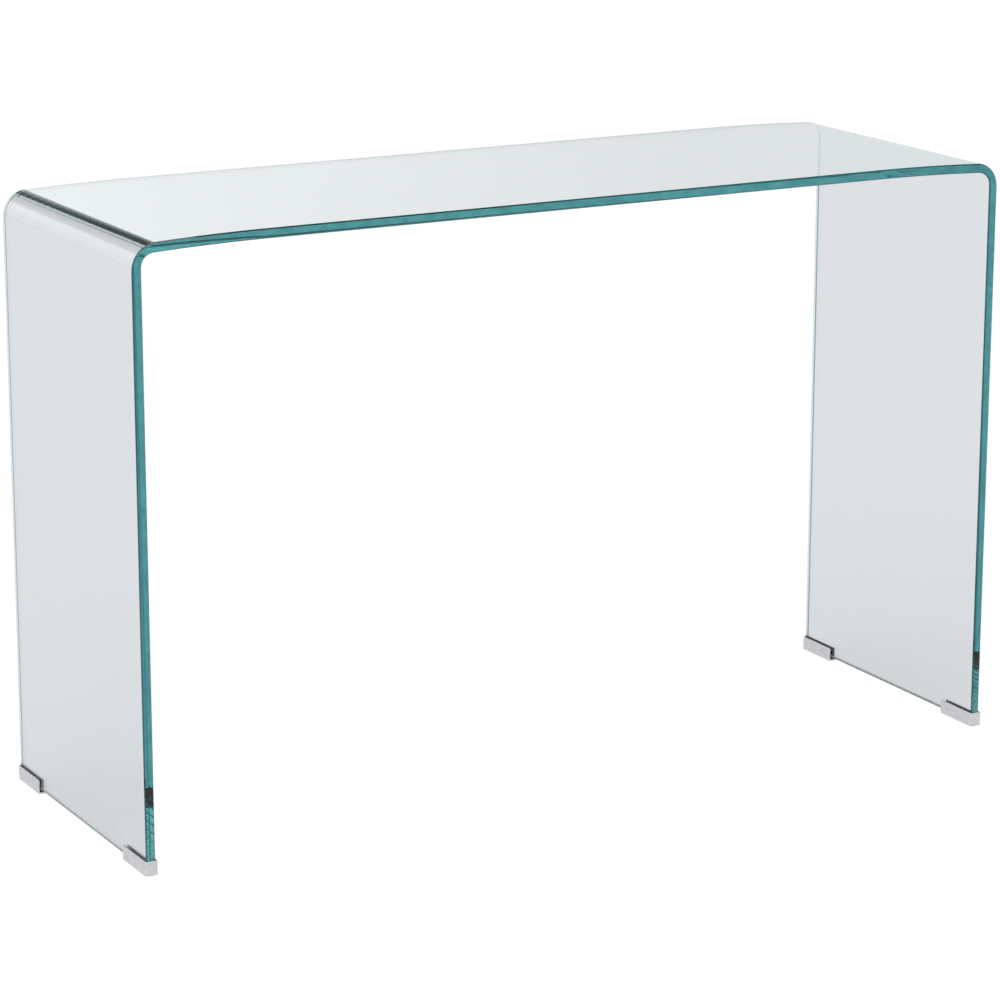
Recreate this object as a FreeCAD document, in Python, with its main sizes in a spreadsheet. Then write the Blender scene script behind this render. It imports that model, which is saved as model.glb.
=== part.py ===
import FreeCAD, Part
import math
import os
import Sketcher

# Console table: one sheet of clear glass bent down at both ends, standing in four corner shoes.
#
# Frame: millimetres, +Z up, +X along the table, +Y to the back. The origin is on the floor,
# under the middle of the table top.
#
# The glass is one waterfall sheet: a top and two full-depth legs, joined by two equal bends, with
# flat polished edges whose corners are broken by an arris. Hot bending leaves two marks on such a
# sheet. It is a little thinner round each bend, where the inner arc is tighter than a parallel
# one would be, and its top runs down into each bend on a long, shallow sag.
#
# Each lower corner of a leg stands in a shoe: a metal channel with a floor and one closed end,
# which laps round the upright edge of the glass. A dark lining keeps the glass off the metal, and
# a thin pad keeps the metal off the floor. The shoes are bonded on, so there is no fastener, and
# nothing on the table moves.

# Driving dimensions: alias, value, what it is.
SIZES = [
    ("table_length", 1200.0, "glass, end to end"),
    ("glass_depth", 400.0, "glass, front edge to back edge"),
    ("table_height", 760.0, "floor to table top"),
    ("glass_thickness", 12.0, "float glass sheet"),
    ("bend_radius", 32.0, "outer radius of both bends"),
    ("crook_radius", 17.0, "inner radius of both bends"),
    ("sag_radius", 2900.0, "long curve on which the top runs down into a bend"),
    ("sag_reach", 175.0, "from the end of the table to where its top is flat"),
    ("arris", 1.5, "flat broken along every corner of the glass edge"),
    ("shoe_length", 68.0, "shoe, closed end to open end"),
    ("shoe_height", 18.0, "shoe, underside to rim"),
    ("shoe_wall", 1.2, "metal of the sides and of the closed end"),
    ("shoe_floor", 2.0, "metal under the lining"),
    ("corner_round", 1.5, "upright corners of the closed end"),
    ("edge_round", 0.4, "rim and underside edges of the shoe"),
    ("lining_wall", 0.8, "lining beside the glass and at its edge"),
    ("lining_floor", 3.0, "lining that the glass stands on"),
    ("lining_setback", 1.0, "lining short of the open end"),
    ("pad_thickness", 1.0, "pad under the shoe"),
    ("pad_inset", 2.0, "pad inside the outline of the shoe"),
    ("pad_corner", 3.0, "upright corners of the pad"),
]

# Sizes that several pieces share, worked out from the driving ones.
SHOE_WIDTH = "sizes.glass_thickness + 2 * (sizes.lining_wall + sizes.shoe_wall)"
CHANNEL_WIDTH = "sizes.glass_thickness + 2 * sizes.lining_wall"
GLASS_FOOT = "sizes.pad_thickness + sizes.shoe_floor + sizes.lining_floor"
LEG_CENTRE = "(sizes.table_length - sizes.glass_thickness) / 2"
SHOE_END = "sizes.glass_depth / 2 + sizes.lining_wall + sizes.shoe_wall"

# How a sketch numbers the points of an edge, its own axes and its origin.
START, END, CENTRE = 1, 2, 3
ACROSS, UPWARD, ORIGIN = -1, -2, (-1, 1)

# Two places closer than this are the same place.
TOUCH = 0.001

QUARTER_TURN = math.pi / 2


def make_sheet(doc):
    sheet = doc.addObject("Spreadsheet::Sheet", "sizes")
    for row, (alias, value, meaning) in enumerate(SIZES, start=1):
        sheet.set(f"A{row}", alias)
        sheet.set(f"B{row}", str(value))
        sheet.set(f"C{row}", meaning)
        sheet.setAlias(f"B{row}", alias)
    doc.recompute()
    return sheet


def make_body(doc, name):
    body = doc.addObject("PartDesign::Body", name)
    body.Label = name
    return body


def make_sketch(body, name, role, lift=None):
    """An empty sketch on one of the body's own origin planes, lifted along its normal."""
    sketch = body.newObject("Sketcher::SketchObject", name)
    plane = next(item for item in body.Origin.OriginFeatures if item.Role == role)
    sketch.AttachmentSupport = (plane, [""])
    sketch.MapMode = "FlatFace"
    if lift:
        sketch.setExpression("AttachmentOffset.Base.z", lift)
    return sketch


def drive(sketch, name, expression, kind, *points):
    """Add a dimension to a sketch and bind it to the sheet."""
    value = float(sketch.evalExpression(expression))
    index = sketch.addConstraint(Sketcher.Constraint(kind, *points, value))
    sketch.renameConstraint(index, name)
    sketch.setExpression(f"Constraints.{name}", expression)


def add_lines(sketch, corners):
    """A closed run of straight lines through the corners, each joined to the next."""
    count = len(corners)
    for index, corner in enumerate(corners):
        following = corners[(index + 1) % count]
        line = Part.LineSegment(FreeCAD.Vector(*corner, 0), FreeCAD.Vector(*following, 0))
        sketch.addGeometry(line, False)
    for index in range(count):
        joined = Sketcher.Constraint("Coincident", index, END, (index + 1) % count, START)
        sketch.addConstraint(joined)


def draw_oblong(sketch, width, near, far):
    """A rectangle centred on the sketch's upright axis, from near to far along that axis."""
    half = float(sketch.evalExpression(width)) / 2
    low = float(sketch.evalExpression(near)) if near else 0.0
    high = float(sketch.evalExpression(far))
    add_lines(sketch, [(-half, low), (half, low), (half, high), (-half, high)])
    bottom, right, top, left = range(4)
    sketch.addConstraint(Sketcher.Constraint("Symmetric", bottom, START, bottom, END, UPWARD))
    sketch.addConstraint(Sketcher.Constraint("Vertical", right))
    sketch.addConstraint(Sketcher.Constraint("Vertical", left))
    sketch.addConstraint(Sketcher.Constraint("Horizontal", top))
    drive(sketch, "width", width, "DistanceX", bottom, START, bottom, END)
    drive(sketch, "far", far, "DistanceY", *ORIGIN, top, START)
    if near:
        drive(sketch, "near", near, "DistanceY", *ORIGIN, bottom, START)
    else:
        sketch.addConstraint(Sketcher.Constraint("PointOnObject", bottom, START, ACROSS))


def pad_sketch(body, name, sketch, length):
    pad = body.newObject("PartDesign::Pad", name)
    pad.Profile = sketch
    pad.setExpression("Length", length)
    body.Document.recompute()
    return pad


def cut_upward(body, name, sketch):
    """Cut from the sketch's plane up through the rim, and prove that metal came away."""
    before = body.Shape.Volume
    pocket = body.newObject("PartDesign::Pocket", name)
    pocket.Profile = sketch
    pocket.Type = "ThroughAll"
    pocket.Reversed = True
    body.Document.recompute()
    if body.Shape.Volume > before - TOUCH:
        raise RuntimeError(f"{body.Label}: {name} cut nothing")
    return pocket


def edges_where(feature, wanted):
    """Names of the edges of a feature whose start, middle and end all satisfy wanted."""
    names = []
    for number, edge in enumerate(feature.Shape.Edges, start=1):
        first, last = edge.FirstParameter, edge.LastParameter
        places = [edge.valueAt(at) for at in (first, (first + last) / 2, last)]
        if all(wanted(place) for place in places):
            names.append(f"Edge{number}")
    return names


def is_upright(feature, name):
    edge = feature.Shape.getElement(name)
    return abs(edge.tangentAt(edge.FirstParameter).z) > 1 - TOUCH


def soften(body, kind, name, base, edges, size_property, size):
    """A fillet or a chamfer on named edges of the feature before it."""
    feature = body.newObject(f"PartDesign::{kind}", name)
    feature.Base = (base, edges)
    feature.setExpression(size_property, size)
    body.Document.recompute()
    return feature


def sag_angle(reach, radius, sag):
    """How far from upright the sag's radius leans where it runs into a bend."""
    return math.asin((reach - radius) / (sag - radius))


def draw_waterfall(sketch):
    """The glass sheet seen from the front: top, two sags, two bends and two legs."""
    half = float(sketch.evalExpression("sizes.table_length")) / 2
    high = float(sketch.evalExpression("sizes.table_height"))
    thick = float(sketch.evalExpression("sizes.glass_thickness"))
    bend_radius = float(sketch.evalExpression("sizes.bend_radius"))
    crook_radius = float(sketch.evalExpression("sizes.crook_radius"))
    sag_radius = float(sketch.evalExpression("sizes.sag_radius"))
    reach = float(sketch.evalExpression("sizes.sag_reach"))
    foot = float(sketch.evalExpression(GLASS_FOOT))
    inside, under = half - thick, high - thick
    flat_x, sag_z = half - reach, high - sag_radius

    def line(start, end):
        ends = FreeCAD.Vector(*start, 0), FreeCAD.Vector(*end, 0)
        return sketch.addGeometry(Part.LineSegment(*ends), False)

    def arc(side, x, z, radius, low, high):
        """An arc on the right, from low to high above level, or its mirror image on the left."""
        circle = Part.Circle(FreeCAD.Vector(side * x, z, 0), FreeCAD.Vector(0, 0, 1), radius)
        ends = (low, high) if side > 0 else (math.pi - high, math.pi - low)
        return sketch.addGeometry(Part.ArcOfCircle(circle, *ends), False)

    def turn(side, face, radius, sag):
        """A bend and the sag that runs into it, for one face of the sheet."""
        lean = sag_angle(face - flat_x, radius, sag)
        bend_z = sag_z + (sag - radius) * math.cos(lean)
        bend = arc(side, face - radius, bend_z, radius, 0, QUARTER_TURN - lean)
        return bend, arc(side, flat_x, sag_z, sag, QUARTER_TURN - lean, QUARTER_TURN)

    bend_z = high - bend_radius
    left_outer = line((-half, foot), (-half, bend_z))
    left_bend, left_sag = turn(-1, half, bend_radius, sag_radius)
    top_outer = line((-flat_x, high), (flat_x, high))
    right_bend, right_sag = turn(1, half, bend_radius, sag_radius)
    right_outer = line((half, bend_z), (half, foot))
    right_foot = line((half, foot), (inside, foot))
    right_inner = line((inside, foot), (inside, bend_z))
    right_crook, right_under = turn(1, inside, crook_radius, sag_radius - thick)
    top_inner = line((flat_x, under), (-flat_x, under))
    left_crook, left_under = turn(-1, inside, crook_radius, sag_radius - thick)
    left_inner = line((-inside, bend_z), (-inside, foot))
    left_foot = line((-inside, foot), (-half, foot))

    for pair in (
        (left_outer, END, left_bend, END), (left_bend, START, left_sag, END),
        (left_sag, START, top_outer, START), (top_outer, END, right_sag, END),
        (right_sag, START, right_bend, END), (right_bend, START, right_outer, START),
        (right_inner, END, right_crook, START), (right_crook, END, right_under, START),
        (right_under, END, top_inner, START), (top_inner, END, left_under, START),
        (left_under, END, left_crook, START), (left_crook, END, left_inner, START),
    ):
        sketch.addConstraint(Sketcher.Constraint("Tangent", *pair))
    for pair in (
        (right_outer, END, right_foot, START), (right_foot, END, right_inner, START),
        (left_inner, END, left_foot, START), (left_foot, END, left_outer, START),
        (left_sag, CENTRE, left_under, CENTRE), (right_sag, CENTRE, right_under, CENTRE),
    ):
        sketch.addConstraint(Sketcher.Constraint("Coincident", *pair))
    for upright in (left_outer, right_outer, right_inner, left_inner):
        sketch.addConstraint(Sketcher.Constraint("Vertical", upright))
    for level in (top_inner, right_foot, left_foot):
        sketch.addConstraint(Sketcher.Constraint("Horizontal", level))
    for pair in (
        (left_bend, right_bend), (left_crook, right_crook), (left_sag, right_sag),
        (left_foot, right_foot),
    ):
        sketch.addConstraint(Sketcher.Constraint("Equal", *pair))
    feet = left_outer, START, right_outer, END
    flat = top_outer, START, top_outer, END
    for ends in (feet, flat):
        sketch.addConstraint(Sketcher.Constraint("Symmetric", *ends, UPWARD))

    drive(sketch, "length", "sizes.table_length", "DistanceX", *feet)
    drive(sketch, "height", "sizes.table_height", "DistanceY", *ORIGIN, top_outer, START)
    drive(sketch, "foot", GLASS_FOOT, "DistanceY", *ORIGIN, left_outer, START)
    leg_ends = left_foot, END, left_foot, START
    drive(sketch, "leg_thickness", "sizes.glass_thickness", "DistanceX", *leg_ends)
    faces = top_inner, START, top_outer, END
    drive(sketch, "top_thickness", "sizes.glass_thickness", "DistanceY", *faces)
    drive(sketch, "outer_radius", "sizes.bend_radius", "Radius", left_bend)
    drive(sketch, "inner_radius", "sizes.crook_radius", "Radius", left_crook)
    drive(sketch, "sag_radius", "sizes.sag_radius", "Radius", left_sag)
    sag_start = left_outer, START, top_outer, START
    drive(sketch, "sag_reach", "sizes.sag_reach", "DistanceX", *sag_start)


def make_glass(doc):
    """One sheet, padded equally to the front and back, with an arris along every edge corner."""
    body = make_body(doc, "bent_glass")
    outline = make_sketch(body, "glass_outline", "XZ_Plane")
    draw_waterfall(outline)
    sheet = pad_sketch(body, "glass_sheet", outline, "sizes.glass_depth")
    sheet.SideType = "Symmetric"
    doc.recompute()

    half = float(body.evalExpression("sizes.glass_depth")) / 2
    foot = float(body.evalExpression(GLASS_FOOT))
    front = edges_where(sheet, lambda place: abs(place.y + half) < TOUCH)
    back = edges_where(sheet, lambda place: abs(place.y - half) < TOUCH)
    feet = edges_where(sheet, lambda place: abs(place.z - foot) < TOUCH)
    cut_edges = sorted({*front, *back, *feet})
    soften(body, "Chamfer", "polished_arris", sheet, cut_edges, "Size", "sizes.arris")
    return body


def shoe_place(body, side, end):
    """Where a shoe stands: side -1 is the left leg, end -1 the front edge of the glass.

    In a shoe's own frame the closed end is at y = 0, the open end is towards +y, the glass is
    centred on x = 0 and the underside of the metal is at z = 0.
    """
    across = side * float(body.evalExpression(LEG_CENTRE))
    along = end * float(body.evalExpression(SHOE_END))
    lift = float(body.evalExpression("sizes.pad_thickness"))
    turn = FreeCAD.Rotation(FreeCAD.Vector(0, 0, 1), 0 if end < 0 else 180)
    return FreeCAD.Placement(FreeCAD.Vector(across, along, lift), turn)


def make_shoe(doc, name):
    """A metal channel with a floor, two sides and one closed end."""
    body = make_body(doc, name)
    outline = make_sketch(body, f"{name}_outline", "XY_Plane")
    draw_oblong(outline, SHOE_WIDTH, None, "sizes.shoe_length")
    pad_sketch(body, f"{name}_block", outline, "sizes.shoe_height")
    channel = make_sketch(body, f"{name}_channel", "XY_Plane", lift="sizes.shoe_floor")
    draw_oblong(channel, CHANNEL_WIDTH, "sizes.shoe_wall", "sizes.shoe_length")
    hollow = cut_upward(body, f"{name}_hollow", channel)

    half = float(body.evalExpression(SHOE_WIDTH)) / 2
    high = float(body.evalExpression("sizes.shoe_height"))
    round_off = float(body.evalExpression("sizes.corner_round"))

    def on_closed_corner(place):
        return abs(place.y) < TOUCH and half - abs(place.x) < TOUCH

    corners = edges_where(hollow, on_closed_corner)
    upright = [name for name in corners if is_upright(hollow, name)]
    rounded = soften(body, "Fillet", f"{name}_corners", hollow, upright, "Radius",
                     "sizes.corner_round")

    def on_rim(place):
        beside = half - abs(place.x) < TOUCH
        around = place.y < round_off - TOUCH and half - abs(place.x) < round_off - TOUCH
        level = abs(place.z) < TOUCH or abs(place.z - high) < TOUCH
        return level and (beside or around or abs(place.y) < TOUCH)

    rims = edges_where(rounded, on_rim)
    soften(body, "Fillet", f"{name}_edges", rounded, rims, "Radius", "sizes.edge_round")
    return body


def make_lining(doc, name):
    """A moulded seat: a floor that the glass stands on, two sides and an end against its edge."""
    body = make_body(doc, name)
    outline = make_sketch(body, f"{name}_outline", "XY_Plane", lift="sizes.shoe_floor")
    back = "sizes.shoe_length - sizes.lining_setback"
    draw_oblong(outline, CHANNEL_WIDTH, "sizes.shoe_wall", back)
    pad_sketch(body, f"{name}_block", outline, "sizes.shoe_height - sizes.shoe_floor")
    seat = make_sketch(body, f"{name}_seat", "XY_Plane", lift="sizes.shoe_floor + sizes.lining_floor")
    draw_oblong(seat, "sizes.glass_thickness", "sizes.shoe_wall + sizes.lining_wall",
                "sizes.shoe_length")
    cut_upward(body, f"{name}_hollow", seat)
    return body


def make_pad(doc, name):
    """A thin strip stuck under the shoe, inside its outline, with rounded corners."""
    body = make_body(doc, name)
    outline = make_sketch(body, f"{name}_outline", "XY_Plane", lift="-sizes.pad_thickness")
    draw_oblong(outline, f"{SHOE_WIDTH} - 2 * sizes.pad_inset", "sizes.pad_inset",
                "sizes.shoe_length - sizes.pad_inset")
    strip = pad_sketch(body, f"{name}_strip", outline, "sizes.pad_thickness")
    every_edge = edges_where(strip, lambda place: True)
    upright = [name for name in every_edge if is_upright(strip, name)]
    soften(body, "Fillet", f"{name}_corners", strip, upright, "Radius", "sizes.pad_corner")
    return body


def check(doc, bodies):
    for item in doc.Objects:
        faults = [state for state in item.State if state in ("Invalid", "Error")]
        if faults:
            raise RuntimeError(f"{item.Name}: {faults}")
    for body in bodies:
        shape = body.Shape
        if shape.isNull() or not shape.isValid() or len(shape.Solids) != 1:
            raise RuntimeError(f"{body.Label}: not one valid solid")
        box = shape.BoundBox
        print(f"{body.Label:20s} {shape.Volume / 1000:10.2f} cm3"
              f"  x {box.XMin:8.2f} {box.XMax:8.2f}  y {box.YMin:8.2f} {box.YMax:8.2f}"
              f"  z {box.ZMin:7.2f} {box.ZMax:7.2f}")


def main():
    doc = FreeCAD.newDocument("console_table")
    make_sheet(doc)
    bodies = [make_glass(doc)]
    for end_name, end in (("front", -1), ("back", 1)):
        for side_name, side in (("left", -1), ("right", 1)):
            corner = f"{end_name}_{side_name}"
            for maker, piece in ((make_shoe, "shoe"), (make_lining, "lining"), (make_pad, "pad")):
                body = maker(doc, f"{corner}_{piece}")
                body.Placement = shoe_place(body, side, end)
                bodies.append(body)
    doc.recompute()
    check(doc, bodies)
    os.makedirs("parts", exist_ok=True)
    for body in bodies:
        body.Shape.exportStep(f"parts/{body.Label}.step")


main()
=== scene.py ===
# %% [markdown]
# # A console table bent from one sheet of glass
# The table is four kinds of thing: one thick sheet of clear float glass, bent hot into a top and
# two legs, and at each lower corner a metal shoe, the black lining inside it and a pad under it.
# Clear glass has hardly any colour of its own to paint, so this lesson is mostly about giving
# light the right solid to travel through: true thickness, true bends, polished edges, and a real
# amount of iron green in the glass.

# %% Load the CAD model
import math
import bmesh
import bpy
from mathutils import Matrix, Vector


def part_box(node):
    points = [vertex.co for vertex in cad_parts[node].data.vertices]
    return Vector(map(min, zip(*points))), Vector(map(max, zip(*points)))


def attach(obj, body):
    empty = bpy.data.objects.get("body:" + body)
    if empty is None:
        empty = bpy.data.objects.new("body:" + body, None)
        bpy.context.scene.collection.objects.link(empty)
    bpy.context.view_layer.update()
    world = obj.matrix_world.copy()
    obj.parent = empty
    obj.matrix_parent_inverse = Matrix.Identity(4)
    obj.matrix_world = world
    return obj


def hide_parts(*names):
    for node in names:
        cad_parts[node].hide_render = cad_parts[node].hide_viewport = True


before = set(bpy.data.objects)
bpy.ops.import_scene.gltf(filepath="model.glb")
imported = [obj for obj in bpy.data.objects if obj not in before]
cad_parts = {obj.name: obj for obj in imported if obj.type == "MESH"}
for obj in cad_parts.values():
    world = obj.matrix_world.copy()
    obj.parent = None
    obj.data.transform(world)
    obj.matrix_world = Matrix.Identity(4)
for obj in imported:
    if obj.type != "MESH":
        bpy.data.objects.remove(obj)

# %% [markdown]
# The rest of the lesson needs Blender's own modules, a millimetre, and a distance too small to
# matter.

MM = 0.001
TOUCH = 0.01 * MM
scene = bpy.context.scene
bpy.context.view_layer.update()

# %% [markdown]
# ## The camera
# A product photographer stands well back with a long lens, so that the far legs stay nearly as
# tall as the near ones. The camera looks from the front left, over the table top. Its three
# angles are a heading turned from the table's long side, a dip, and a slight roll. It is far
# enough back for the whole table to fit without shifting the lens.

# %% Camera
CAMERA_PLACE = (-2.190, -3.964, 1.519)
HEADING, DIP, ROLL = 28.74, 14.61, 0.07
LENS_MM = 131.9

lens = bpy.data.cameras.new("studio_camera")
lens.lens = LENS_MM
lens.clip_start, lens.clip_end = 0.05, 200.0
camera = bpy.data.objects.new("studio_camera", lens)
scene.collection.objects.link(camera)
aim = (Matrix.Rotation(math.radians(-HEADING), 3, "Z")
       @ Matrix.Rotation(math.radians(90 - DIP), 3, "X")
       @ Matrix.Rotation(math.radians(ROLL), 3, "Z"))
camera.matrix_world = Matrix.LocRotScale(Vector(CAMERA_PLACE), aim, None)
scene.camera = camera
print("camera", LENS_MM, "mm lens,", round(Vector(CAMERA_PLACE).length, 2), "m from the origin")

# %% [markdown]
# ## Materials: small helpers
# Colours are written the way a paint card gives them, as hex sRGB, and one function turns them to
# the linear values that shaders work in. Another adds a node, sets it and links it in one go, so
# that a material reads from top to bottom. Two more are built on it: a ramp of colours, and a
# stretch of the middle of a noise texture, where nearly all of its values lie, over a range.

# %% Colour and node helpers
NOISE_LOW, NOISE_HIGH = 0.3, 0.7


def linear(code):
    """The linear RGBA of an sRGB colour such as "8fb3a9"."""
    channels = [int(code[at:at + 2], 16) / 255 for at in (0, 2, 4)]
    curve = [c / 12.92 if c <= 0.04045 else ((c + 0.055) / 1.055) ** 2.4 for c in channels]
    return (*curve, 1.0)


def add_node(tree, kind, inputs=None, **settings):
    """Add a node, set its options, and give each input a value or a link."""
    made = tree.nodes.new(kind)
    for option, value in settings.items():
        setattr(made, option, value)
    for name, value in (inputs or {}).items():
        if isinstance(value, bpy.types.NodeSocket):
            tree.links.new(value, made.inputs[name])
        else:
            made.inputs[name].default_value = value
    return made


def add_ramp(tree, value, stops, interpolation="LINEAR"):
    """Add a ramp that turns a value into colours, from pairs of a position and an sRGB code."""
    made = add_node(tree, "ShaderNodeValToRGB", {"Fac": value})
    ramp = made.color_ramp
    ramp.interpolation = interpolation
    for _ in stops[2:]:
        ramp.elements.new(1.0)
    for element, (position, code) in zip(ramp.elements, stops):
        element.position = position
        element.color = linear(code)
    return made


def add_stretch(tree, noise, low, high):
    """Add a node that spreads the middle of a noise texture over a range."""
    return add_node(tree, "ShaderNodeMapRange", {
        "Value": noise.outputs["Fac"], "From Min": NOISE_LOW, "From Max": NOISE_HIGH,
        "To Min": low, "To Max": high})


def new_material(name):
    """A material with an empty node tree and its output."""
    material = bpy.data.materials.new(name)
    material.use_nodes = True
    material.node_tree.nodes.clear()
    return material, material.node_tree, material.node_tree.nodes.new("ShaderNodeOutputMaterial")

# %% [markdown]
# ## The studio room
# Clear glass shows nothing but its surroundings, so they matter as much as the sheet does. Glass
# is usually shown on a bright floor, between bright walls and under a dimmer ceiling: the panels
# then turn a pale grey, and the bends, which look up into the dimness, draw themselves dark. The
# sky here is that room. Its walls reach higher to either side, where they light the edges of the
# glass, and they grow a little dimmer towards the right, which gives the table top its slow change
# of tone.

# %% Room
WALL_LIGHT, RIGHT_WALL_LIGHT = 1.05, 0.80
CEILING_LIGHT = 0.25
DIMMER_FROM, DIMMER_TO = 0.33, 0.52
BACK_WALL_TOP, SIDE_SLOPE = 0.28, 0.9
WALL_FADE = 0.09

world = bpy.data.worlds.new("studio_room")
scene.world = world
world.use_nodes = True
world.node_tree.nodes.clear()
tree = world.node_tree
direction = add_node(tree, "ShaderNodeTexCoord")
parts = add_node(tree, "ShaderNodeSeparateXYZ", {"Vector": direction.outputs["Generated"]})
wall = add_node(tree, "ShaderNodeMapRange", {
    "Value": parts.outputs["X"], "From Min": DIMMER_FROM, "From Max": DIMMER_TO,
    "To Min": WALL_LIGHT, "To Max": RIGHT_WALL_LIGHT})
aside = add_node(tree, "ShaderNodeMath", {0: parts.outputs["X"]}, operation="ABSOLUTE")
side_top = add_node(tree, "ShaderNodeMath", {0: aside.outputs["Value"], 1: SIDE_SLOPE},
                    operation="MULTIPLY")
wall_top = add_node(tree, "ShaderNodeMath", {0: side_top.outputs["Value"], 1: BACK_WALL_TOP},
                    operation="MAXIMUM")
above = add_node(tree, "ShaderNodeMath", {0: parts.outputs["Z"], 1: wall_top.outputs["Value"]},
                 operation="SUBTRACT")
fade = add_node(tree, "ShaderNodeMapRange", {
    "Value": above.outputs["Value"], "From Min": 0.0, "From Max": WALL_FADE,
    "To Min": wall.outputs["Result"], "To Max": CEILING_LIGHT}, interpolation_type="SMOOTHSTEP")
room = add_node(tree, "ShaderNodeBackground", {"Color": linear("ffffff"),
                                               "Strength": fade.outputs["Result"]})
add_node(tree, "ShaderNodeOutputWorld", {"Surface": room.outputs["Background"]})

# %% [markdown]
# One very large soft light hangs overhead, a little to the front left. A sun lamp with a wide
# angle is such a light at any distance: it lights the whole floor evenly, which a box lamp near
# the table wouldn't, and its shadows are too soft to see.

# %% Overhead light
OVERHEAD_WATTS = 2.4
OVERHEAD_WIDTH = math.radians(70)
OVERHEAD_FROM = Vector((-0.25, -0.30, 1.0))

lamp = bpy.data.lights.new("overhead_soft_light", "SUN")
lamp.energy = OVERHEAD_WATTS
lamp.angle = OVERHEAD_WIDTH
overhead = bpy.data.objects.new("overhead_soft_light", lamp)
overhead.rotation_euler = OVERHEAD_FROM.to_track_quat("Z", "Y").to_euler()
scene.collection.objects.link(overhead)
print("overhead light", OVERHEAD_WATTS, "W/m2, as wide as", round(math.degrees(OVERHEAD_WIDTH)),
      "degrees of ceiling")

# %% [markdown]
# The floor is a light table, a matt pale sheet lit from below, as is often used under glass: it
# keeps the table's own shadow from dulling the feet. Such a picture is exposed so that the floor
# bleaches to white, while the glass over it still looks grey. To have both, there are two floors:
# one that only glass, metal and light see, and one that only the camera sees, which is brighter.

# %% Floor
FLOOR_RADIUS = 40.0
FLOOR_DROP = 0.2 * MM
FLOOR_GLOW, BLEACHED_GLOW = 0.56, 0.9
FLOOR_MATT = 0.9


def studio_floor(name, height, inputs):
    """A wide disc a little under the feet, in matt floor paint."""
    bm = bmesh.new()
    bmesh.ops.create_circle(bm, cap_ends=True, segments=96, radius=FLOOR_RADIUS)
    bmesh.ops.translate(bm, verts=bm.verts, vec=(0, 0, height))
    mesh = bpy.data.meshes.new(name)
    bm.to_mesh(mesh)
    bm.free()
    material, tree, output = new_material(name + "_paint")
    shader = add_node(tree, "ShaderNodeBsdfPrincipled", {"Roughness": FLOOR_MATT, **inputs})
    tree.links.new(shader.outputs["BSDF"], output.inputs["Surface"])
    mesh.materials.append(material)
    made = bpy.data.objects.new(name, mesh)
    scene.collection.objects.link(made)
    return made


floor = studio_floor("floor", -FLOOR_DROP, {
    "Base Color": linear("737275"), "Emission Color": linear("fdfbff"),
    "Emission Strength": FLOOR_GLOW})
floor.visible_camera = False
bleached_floor = studio_floor("bleached_floor", -2 * FLOOR_DROP, {
    "Base Color": linear("606060"), "Emission Color": linear("ffffff"),
    "Emission Strength": BLEACHED_GLOW})
for rays in ("visible_diffuse", "visible_glossy", "visible_transmission", "visible_shadow"):
    setattr(bleached_floor, rays, False)

scene.view_settings.view_transform = "Standard"

# %% [markdown]
# ## How deep the light goes
# Light that enters the edge of the sheet is trapped between its faces, and bounces a dozen times or
# more before it leaves at the far edge. Each bounce counts against a limit, so the limits are set
# well above the usual ones. Without that, the edges go black instead of blue-green.

# %% Light paths
DEEP, SHALLOW = 64, 4
scene.cycles.max_bounces = DEEP
scene.cycles.transmission_bounces = DEEP
scene.cycles.glossy_bounces = DEEP
scene.cycles.diffuse_bounces = SHALLOW

# %% [markdown]
# ## The glass sheet
# On the real table the flat blank has its edges ground and polished first, then it is heated until
# it sags over a mould. That leaves two marks. The glass is a little thinner round each bend, where
# the inner arc is tighter than a parallel one would be, and that makes a strong lens of the bend,
# which catches a dark stripe of trapped light. And the top runs down into the bend on a long,
# shallow sag. The outer and the inner face each have their own arcs.

# %% Sizes of the sheet
low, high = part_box("bent_glass")
SHEET = 12 * MM
BEND = 32 * MM
CROOK = 17 * MM
SAG = 2900 * MM
SAG_REACH = 175 * MM
ARRIS = 1.5 * MM
BEND_STEPS, SAG_STEPS = 48, 12
depth = high.y - low.y
flat_x = high.x - SAG_REACH
print("sheet", [round(side, 4) for side in high - low], "level top from x", round(-flat_x, 4))

# %% [markdown]
# Half of a face is drawn as one line of vertices: pulled up the leg, swung round the bend, swung
# again along the sag, and pulled on to the middle of the top. Sag and bend meet where both lean
# alike, so that angle is worked out first.

# %% Draw one face of the sheet
def pull(bm, tip, step):
    """Draw a straight stretch on from a vertex, and give back its end."""
    made = bmesh.ops.extrude_vert_indiv(bm, verts=[tip])["verts"][0]
    bmesh.ops.translate(bm, verts=[made], vec=step)
    return made


def swing(bm, tip, centre, angle, steps):
    """Spin a vertex round a centre, and give back the end of the arc."""
    return bmesh.ops.spin(bm, geom=[tip], cent=centre, axis=(0, 1, 0), dvec=(0, 0, 0),
                          angle=angle, space=Matrix.Identity(4), steps=steps, use_merge=False,
                          use_normal_flip=False, use_duplicate=False)["geom_last"][0]


def draw_face(bm, wall_x, top_z, bend, sag):
    """The left half of one face, from the foot up the leg and along to the middle of the top."""
    lean = math.asin((wall_x - flat_x - bend) / (sag - bend))
    sag_centre = Vector((-flat_x, low.y, top_z - sag))
    bend_centre = sag_centre + (sag - bend) * Vector((-math.sin(lean), 0, math.cos(lean)))
    tip = bm.verts.new((-wall_x, low.y, low.z))
    tip = pull(bm, tip, (0, 0, bend_centre.z - low.z))
    tip = swing(bm, tip, bend_centre, math.pi / 2 - lean, BEND_STEPS)
    tip = swing(bm, tip, sag_centre, lean, SAG_STEPS)
    tip = pull(bm, tip, (flat_x, 0, 0))
    print("face at x", round(-wall_x, 4), "leans", round(math.degrees(lean), 2),
          "degrees into its bend, and ends at z", round(tip.co.z, 5))


bm = bmesh.new()
draw_face(bm, high.x, high.z, BEND, SAG)
draw_face(bm, high.x - SHEET, high.z - SHEET, CROOK, SAG - SHEET)

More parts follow.
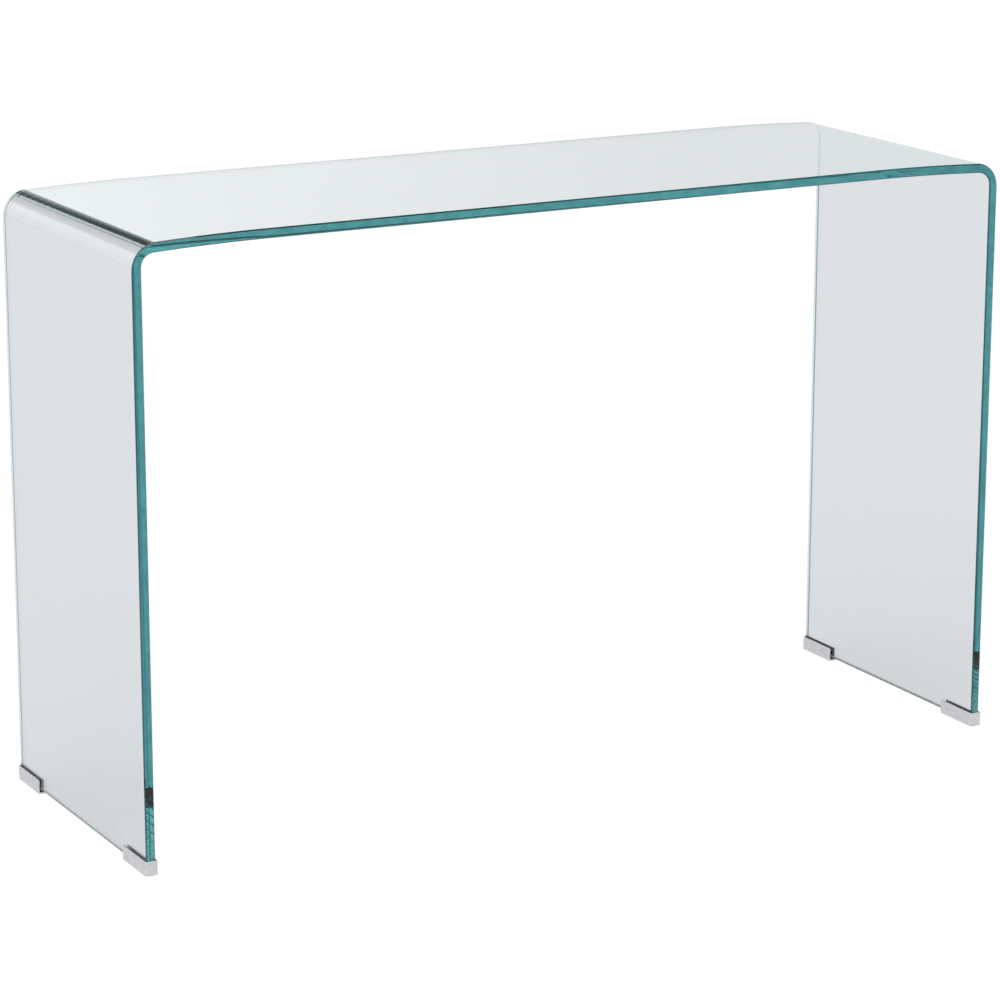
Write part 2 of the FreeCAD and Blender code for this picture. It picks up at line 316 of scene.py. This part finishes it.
# %% [markdown]
# The two lines are bridged into half of the sheet's end view, mirrored for the other half, and
# pulled from the front edge to the back.

# %% Fill, mirror and pull to full depth
bmesh.ops.bridge_loops(bm, edges=bm.edges)
half_view = [*bm.verts, *bm.edges, *bm.faces]
bmesh.ops.mirror(bm, geom=half_view, matrix=Matrix.Identity(4), axis="X", merge_dist=TOUCH)
bmesh.ops.recalc_face_normals(bm, faces=bm.faces)
pulled = bmesh.ops.extrude_face_region(bm, geom=bm.faces)["geom"]
back_verts = [item for item in pulled if isinstance(item, bmesh.types.BMVert)]
bmesh.ops.translate(bm, verts=back_verts, vec=(0, depth, 0))
bmesh.ops.recalc_face_normals(bm, faces=bm.faces)
print("sheet faces", len(bm.faces), "open edges",
      len([edge for edge in bm.edges if len(edge.link_faces) != 2]))

# %% [markdown]
# Every edge of the blank is ground to a small flat at 45 degrees, the arris, so that it neither
# cuts nor chips. The square edges are the only ones that turn by more than a few degrees, so they
# are found by their angle and bevelled in one go. The ground faces aren't as smooth as the broad,
# fire-polished ones, so an attribute marks the flats, the arrises beside them, which get a painted
# dark blue-green shade, and the arrises under the feet, which are left as ground.

# %% Grind and mark the edges
SQUARE_EDGE = math.radians(40)
FACES_ALONG, FACES_ASLANT = 0.9, 0.4
# The arris beside a flat edge is the one that gets a painted dark blue-green shade in the glass
# material.
FLAT_EDGE, PAINTED_SHADE_ARRIS, GROUND_ARRIS = 1.0, 0.5, 0.25
FOOT_ZONE = 20 * MM

corners = [edge for edge in bm.edges if edge.calc_face_angle(0) > SQUARE_EDGE]
bmesh.ops.bevel(bm, geom=corners, offset=ARRIS, offset_type="OFFSET", segments=1, profile=0.5,
                affect="EDGES", material=-1, clamp_overlap=False)
bmesh.ops.recalc_face_normals(bm, faces=bm.faces)
ground = bm.faces.layers.float.new("ground_edge")
for face in bm.faces:
    endways = abs(face.normal.y)
    downward = -face.normal.z if face.calc_center_median().z < FOOT_ZONE else 0
    if max(endways, downward) > FACES_ALONG:
        face[ground] = FLAT_EDGE
    elif endways > FACES_ASLANT:
        face[ground] = PAINTED_SHADE_ARRIS
    elif downward > FACES_ASLANT:
        face[ground] = GROUND_ARRIS
print("flat edge faces", sum(face[ground] == FLAT_EDGE for face in bm.faces),
      "arris faces", sum(face[ground] == PAINTED_SHADE_ARRIS for face in bm.faces),
      "under the feet", sum(face[ground] == GROUND_ARRIS for face in bm.faces),
      "open edges", len([edge for edge in bm.edges if len(edge.link_faces) != 2]),
      "volume", round(bm.calc_volume() * 1e6, 1), "cm3")

# %% [markdown]
# ## From bmesh to object
# Every piece leaves its bmesh through one function. It shades the faces smooth, keeps a hard line
# where two faces meet at more than a set angle, and lets large flats keep their own direction, so
# that a flat sheet of glass stays optically flat right up to a bend.

# %% Finish a piece
CREASE = math.radians(32)


def finish_piece(bm, name, node, material):
    """Turn a bmesh into a piece that stands for a CAD node and wears a material."""
    mesh = bpy.data.meshes.new(name)
    for face in bm.faces:
        face.smooth = True
    bm.to_mesh(mesh)
    bm.free()
    mesh.set_sharp_from_angle(angle=CREASE)
    mesh.materials.append(material)
    piece = bpy.data.objects.new(name, mesh)
    scene.collection.objects.link(piece)
    weighted = piece.modifiers.new("true_flats", "WEIGHTED_NORMAL")
    weighted.keep_sharp = True
    weighted.weight = 50
    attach(piece, "root")
    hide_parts(node)
    print(name, "has", len(mesh.polygons), "faces")

# %% [markdown]
# ## Clear float glass
# Float glass is colourless to look through, because 12 mm takes only a little red out of the light.
# Along the sheet the light passes through half a metre of it, so the edges glow blue-green. That
# is absorption in the volume. The edges are ground and then polished on a wheel as clear as the
# faces. On top of that, their flats get a painted blue-green mottle, laid out like the wheel's
# marks, that stands in for the uneven glow of the trapped light, and the arris beside them gets a
# painted dark blue-green shade that reads as a thin line. The arris under the feet is left as it
# was ground: rough and grey.

# %% Glass material
GLASS_IOR = 1.52
ABSORBED = linear("66dadb")
ABSORPTION_PER_METRE = 6.8
MOTTLE_SIZE = 14 * MM
GROUND_FROM, PAINTED_SHADE_FROM, FLAT_FROM = 0.15, 0.4, 0.75
GROUND_HAZE = 0.6


def float_glass():
    """Smooth clear float glass, coloured by its depth, with painted glow and shade on its edges."""
    material, tree, output = new_material("clear_float_glass")
    place = add_node(tree, "ShaderNodeTexCoord")
    kind = add_node(tree, "ShaderNodeAttribute", attribute_name="ground_edge")
    mottle = add_node(tree, "ShaderNodeTexNoise", {
        "Vector": place.outputs["Object"], "Scale": 1 / MOTTLE_SIZE, "Detail": 4.0,
        "Roughness": 0.65})
    # Painted glow: the flat edges get a blue-green mottle for the uneven glow of the light trapped
    # in the sheet, laid out like wheel marks.
    wheel_marks_and_painted_glow = add_ramp(tree, mottle.outputs["Fac"], [(0.38, "c0d8da"), (0.62, "ffffff")])
    # Painted shade: the arris beside a flat edge is coloured dark blue-green, 5f868b; the ground
    # arris under the feet is grey.
    ground_grey_and_painted_shade = add_ramp(tree, kind.outputs["Fac"], [
        (0.0, "ffffff"), (GROUND_FROM, "949494"), (PAINTED_SHADE_FROM, "5f868b"), (FLAT_FROM, "ffffff")],
        interpolation="CONSTANT")
    on_flat = add_node(tree, "ShaderNodeMath", {0: kind.outputs["Fac"], 1: FLAT_FROM},
                       operation="GREATER_THAN")
    tint = add_node(tree, "ShaderNodeMix", data_type="RGBA", blend_type="MULTIPLY")
    tree.links.new(on_flat.outputs["Value"], tint.inputs["Factor"])
    tree.links.new(ground_grey_and_painted_shade.outputs["Color"], tint.inputs[6])
    tree.links.new(wheel_marks_and_painted_glow.outputs["Color"], tint.inputs[7])
    as_ground = add_node(tree, "ShaderNodeMath", {
        0: kind.outputs["Fac"], 1: GROUND_ARRIS, 2: GROUND_ARRIS - GROUND_FROM},
        operation="COMPARE")
    haze = add_node(tree, "ShaderNodeMath", {0: as_ground.outputs["Value"], 1: GROUND_HAZE},
                    operation="MULTIPLY")
    surface = add_node(tree, "ShaderNodeBsdfPrincipled", {
        "Base Color": tint.outputs[2], "Roughness": haze.outputs["Value"], "IOR": GLASS_IOR,
        "Transmission Weight": 1.0})
    depth_tint = add_node(tree, "ShaderNodeVolumeAbsorption",
                          {"Color": ABSORBED, "Density": ABSORPTION_PER_METRE})
    tree.links.new(surface.outputs["BSDF"], output.inputs["Surface"])
    tree.links.new(depth_tint.outputs["Volume"], output.inputs["Volume"])
    return material


finish_piece(bm, "glass_sheet", "bent_glass", float_glass())

# %% [markdown]
# ## The channels on the corners
# A shoe and its lining are the same form at two sizes: a floor, two sides and one closed end. Both
# start as a floor plate, cut by planes where the walls stand, and the strip of floor under the
# walls is pulled up to the rim. It is built in a frame of its own, with the closed end at y = 0.

# %% Channel
def channel(size, wall, base):
    """A channel of a given outer size, with walls and a floor of given thickness."""
    bm = bmesh.new()
    bmesh.ops.create_cube(bm, size=1)
    bmesh.ops.scale(bm, vec=(size.x, size.y, base), verts=bm.verts)
    bmesh.ops.translate(bm, vec=(0, size.y / 2, base / 2), verts=bm.verts)
    inside = size.x / 2 - wall
    for place, across in (((-inside, 0, 0), (1, 0, 0)), ((inside, 0, 0), (1, 0, 0)),
                          ((0, wall, 0), (0, 1, 0))):
        bmesh.ops.bisect_plane(bm, geom=[*bm.verts, *bm.edges, *bm.faces],
                               plane_co=place, plane_no=across)

    def carries_wall(face):
        """True of a face on top of the floor, where a wall stands on it."""
        middle = face.calc_center_median()
        return face.normal.z > 0.5 and (abs(middle.x) > inside or middle.y < wall)

    walls = [face for face in bm.faces if carries_wall(face)]
    raised = bmesh.ops.extrude_face_region(bm, geom=walls)["geom"]
    rim = [item for item in raised if isinstance(item, bmesh.types.BMVert)]
    bmesh.ops.translate(bm, vec=(0, 0, size.z - base), verts=rim)
    bmesh.ops.dissolve_limit(bm, angle_limit=math.radians(1), verts=bm.verts, edges=bm.edges)
    bmesh.ops.recalc_face_normals(bm, faces=bm.faces)
    return bm

# %% [markdown]
# Real corners are never knife sharp. The two upright corners of a shoe's closed end have a visible
# radius, so they are rounded first; the level edges of its outline then get a much smaller one,
# just enough for a thin line of light. A piece is made at the origin, and then turned, if it
# belongs at the back, and carried to where its CAD node stands.

# %% Round edges and set in place
def round_edges(bm, radius, steps, wanted):
    """Round the square edges that satisfy wanted, and count them."""
    chosen = [edge for edge in bm.edges if edge.calc_face_angle(0) > SQUARE_EDGE and wanted(edge)]
    bmesh.ops.bevel(bm, geom=chosen, offset=radius, offset_type="OFFSET", segments=steps,
                    profile=0.5, affect="EDGES", material=-1, clamp_overlap=True)
    return len(chosen)


def is_upright(edge):
    """True of an edge that stands straight up."""
    first, last = (vert.co for vert in edge.verts)
    return (first.xy - last.xy).length < TOUCH


def on_closed_corner(edge):
    """True of the two upright outer corners of a channel's closed end."""
    return is_upright(edge) and all(abs(vert.co.y) < TOUCH for vert in edge.verts)


def set_in_place(bm, node):
    """Carry a piece from its own frame to the corner where its CAD node stands."""
    low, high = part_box(node)
    middle = (low + high) / 2
    turned = math.pi if middle.y > 0 else 0
    closed_end = high.y if middle.y > 0 else low.y
    bmesh.ops.rotate(bm, cent=(0, 0, 0), matrix=Matrix.Rotation(turned, 3, "Z"), verts=bm.verts)
    bmesh.ops.translate(bm, vec=(middle.x, closed_end, low.z), verts=bm.verts)
    bmesh.ops.recalc_face_normals(bm, faces=bm.faces)

# %% [markdown]
# ## Satin polished stainless steel
# The shoes are folded from stainless sheet and polished with a fine belt that runs along them. The
# eye gets a pale silver that is bright but not a mirror, with fine lines along the shoe and a
# slight cloudiness where it has been handled. A polishing line is about 0.02 mm wide, far too fine
# to show, so the lines are drawn 0.25 mm apart. Metal has its colour in the reflection alone.

# %% Steel
LINE_GAP = 0.25 * MM
LINE_LENGTH = 18 * MM
CLOUD_SIZE = 9 * MM
LINE_RELIEF = 0.01 * MM
METAL_ROUGHNESS = 0.22, 0.31
LINE_ROUGHENING = 0.03


def satin_steel():
    """Stainless steel with a satin polish that runs along the shoe."""
    material, tree, output = new_material("satin_polished_stainless_steel")
    place = add_node(tree, "ShaderNodeTexCoord")
    stretch = add_node(tree, "ShaderNodeMapping", {
        "Vector": place.outputs["Object"], "Scale": (1, LINE_GAP / LINE_LENGTH, 1)})
    lines = add_node(tree, "ShaderNodeTexNoise", {
        "Vector": stretch.outputs["Vector"], "Scale": 1 / LINE_GAP, "Detail": 3.0,
        "Roughness": 0.7})
    clouds = add_node(tree, "ShaderNodeTexNoise", {
        "Vector": place.outputs["Object"], "Scale": 1 / CLOUD_SIZE, "Detail": 4.0,
        "Roughness": 0.6})
    silver = add_ramp(tree, clouds.outputs["Fac"], [(0.32, "dadcdc"), (0.68, "e8eaea")])
    handled = add_stretch(tree, clouds, *METAL_ROUGHNESS)
    polish = add_stretch(tree, lines, -LINE_ROUGHENING, LINE_ROUGHENING)
    gloss = add_node(tree, "ShaderNodeMath", {0: handled.outputs["Result"],
                                              1: polish.outputs["Result"]}, operation="ADD")
    relief = add_node(tree, "ShaderNodeBump", {
        "Height": lines.outputs["Fac"], "Strength": 0.15, "Distance": LINE_RELIEF})
    surface = add_node(tree, "ShaderNodeBsdfPrincipled", {
        "Base Color": silver.outputs["Color"], "Metallic": 1.0,
        "Roughness": gloss.outputs["Value"], "Normal": relief.outputs["Normal"]})
    tree.links.new(surface.outputs["BSDF"], output.inputs["Surface"])
    return material


steel = satin_steel()

# %% [markdown]
# ## Black moulded rubber
# The lining is soft synthetic rubber, moulded in a spark-eroded tool that leaves it with a fine
# matt grain. It reads as a plain black line beside the glass, a touch greyer where it has bloomed,
# as old rubber does. The real grain is about 0.1 mm, and is drawn at 0.3 mm.

# %% Rubber
RUBBER_GRAIN = 0.3 * MM
GRAIN_DEPTH = 0.05 * MM
BLOOM_SIZE = 6 * MM
RUBBER_ROUGHNESS = 0.55, 0.75
RUBBER_IOR = 1.52


def black_rubber():
    """Matt black rubber with a fine moulded grain and a slight grey bloom."""
    material, tree, output = new_material("black_moulded_rubber")
    place = add_node(tree, "ShaderNodeTexCoord")
    grain = add_node(tree, "ShaderNodeTexNoise", {
        "Vector": place.outputs["Object"], "Scale": 1 / RUBBER_GRAIN, "Detail": 2.0})
    bloom = add_node(tree, "ShaderNodeTexNoise", {
        "Vector": place.outputs["Object"], "Scale": 1 / BLOOM_SIZE, "Detail": 3.0})
    colour = add_ramp(tree, bloom.outputs["Fac"], [(0.4, "0e0f10"), (0.75, "242627")])
    dullness = add_stretch(tree, bloom, *RUBBER_ROUGHNESS)
    relief = add_node(tree, "ShaderNodeBump", {
        "Height": grain.outputs["Fac"], "Strength": 0.4, "Distance": GRAIN_DEPTH})
    surface = add_node(tree, "ShaderNodeBsdfPrincipled", {
        "Base Color": colour.outputs["Color"], "Roughness": dullness.outputs["Result"],
        "IOR": RUBBER_IOR, "Normal": relief.outputs["Normal"]})
    tree.links.new(surface.outputs["BSDF"], output.inputs["Surface"])
    return material


rubber = black_rubber()

# %% [markdown]
# ## Grey foam rubber
# The pad is thin closed-cell foam rubber with glue on its upper side, so that the metal doesn't
# mark a floor. Its surface is full of tiny cells and has hardly any gloss; the hollows of the cells
# get a painted shade, darker than the cell walls. The cells are about 0.15 mm, and are drawn at 0.4
# mm.

# %% Foam
FOAM_CELL = 0.4 * MM
CELL_DEPTH = 0.1 * MM


def grey_foam():
    """Matt grey foam rubber, with painted shade in its cell hollows, darker than the cell walls."""
    material, tree, output = new_material("grey_foam_rubber")
    place = add_node(tree, "ShaderNodeTexCoord")
    cells = add_node(tree, "ShaderNodeTexVoronoi", {
        "Vector": place.outputs["Object"], "Scale": 1 / FOAM_CELL})
    # Painted shade: the cell hollows are darker than the cell walls, on top of the foam's own grey.
    foam_grey_and_painted_hollow_shade = add_ramp(tree, cells.outputs["Distance"], [(0.15, "55565a"), (0.65, "85868a")])
    relief = add_node(tree, "ShaderNodeBump", {
        "Height": cells.outputs["Distance"], "Strength": 0.6, "Distance": CELL_DEPTH})
    surface = add_node(tree, "ShaderNodeBsdfPrincipled", {
        "Base Color": foam_grey_and_painted_hollow_shade.outputs["Color"], "Roughness": 0.85,
        "Normal": relief.outputs["Normal"]})
    tree.links.new(surface.outputs["BSDF"], output.inputs["Surface"])
    return material


foam = grey_foam()

# %% [markdown]
# ## Shoes
# The shoe is the bright part that the eye picks out at each corner: 1.2 mm walls on a 2 mm floor,
# as the CAD has them, with the closed end wrapped round the upright edge of the glass.

# %% Shoe
SHOE_WALL = 1.2 * MM
SHOE_FLOOR = 2 * MM
CORNER_ROUND = 1.5 * MM
RIM_ROUND = 0.35 * MM


def outer_only(size):
    """A test for square edges on the outline of a channel, not inside it."""
    def wanted(edge):
        """True of a level edge on the outline, away from the open end."""
        middle = (edge.verts[0].co + edge.verts[1].co) / 2
        beside = size.x / 2 - abs(middle.x) < CORNER_ROUND - TOUCH
        level = abs(edge.verts[0].co.z - edge.verts[1].co.z) < TOUCH
        around = middle.y < CORNER_ROUND - TOUCH
        outline = size.x / 2 - abs(middle.x) < TOUCH or middle.y < TOUCH or (beside and around)
        return level and outline and middle.y < size.y - TOUCH
    return wanted


def make_shoe(corner):
    """The metal shoe on one corner of the glass."""
    node = f"{corner}_shoe"
    low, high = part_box(node)
    size = high - low
    bm = channel(size, SHOE_WALL, SHOE_FLOOR)
    round_edges(bm, CORNER_ROUND, 6,
                lambda edge: on_closed_corner(edge)
                and all(size.x / 2 - abs(vert.co.x) < TOUCH for vert in edge.verts))
    rims = round_edges(bm, RIM_ROUND, 3, outer_only(size))
    print(node, [round(side / MM, 2) for side in size], "mm,", rims, "rim edges rounded")
    set_in_place(bm, node)
    finish_piece(bm, f"{corner}_shoe_metal", node, steel)

# %% [markdown]
# ## Linings
# The lining fills the space between shoe and glass. In the CAD its faces touch the glass exactly.
# Two touching surfaces would fight over which is in front, and the glass would lose the thin film
# of air that makes it mirror inside, so the lining is made 0.05 mm thinner than its space.

# %% Lining
LINING_WALL = 0.8 * MM
LINING_FLOOR = 3 * MM
AIR_GAP = 0.05 * MM
LINING_ROUND = 0.25 * MM


def make_lining(corner):
    """The black lining in one shoe."""
    node = f"{corner}_lining"
    low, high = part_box(node)
    size = high - low
    bm = channel(size, LINING_WALL - AIR_GAP, LINING_FLOOR - AIR_GAP)
    rims = round_edges(bm, LINING_ROUND, 2,
                       lambda edge: all(size.z - vert.co.z < TOUCH for vert in edge.verts))
    print(node, [round(side / MM, 2) for side in size], "mm,", rims, "rim edges rounded")
    set_in_place(bm, node)
    finish_piece(bm, f"{corner}_lining_rubber", node, rubber)

# %% [markdown]
# ## Pads
# The pad is a strip under the shoe, set in from its outline, so it is hardly seen: only a thin
# shadow under the metal. Its corners are cut round so that they don't lift.

# %% Pad
PAD_CORNER = 3 * MM
PAD_EDGE = 0.15 * MM


def make_pad(corner):
    """The foam strip under one shoe."""
    node = f"{corner}_pad"
    low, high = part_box(node)
    size = high - low
    bm = bmesh.new()
    bmesh.ops.create_cube(bm, size=1)
    bmesh.ops.scale(bm, vec=size, verts=bm.verts)
    bmesh.ops.translate(bm, vec=(0, size.y / 2, size.z / 2), verts=bm.verts)
    round_edges(bm, PAD_CORNER, 8, is_upright)
    round_edges(bm, PAD_EDGE, 2, lambda edge: not is_upright(edge))
    set_in_place(bm, node)
    finish_piece(bm, f"{corner}_pad_strip", node, foam)

# %% [markdown]
# ## All four corners
# The table is the same at every corner, so one loop makes the twelve pieces.

# %% Corners
for end_name in ("front", "back"):
    for side_name in ("left", "right"):
        corner = f"{end_name}_{side_name}"
        make_shoe(corner)
        make_lining(corner)
        make_pad(corner)
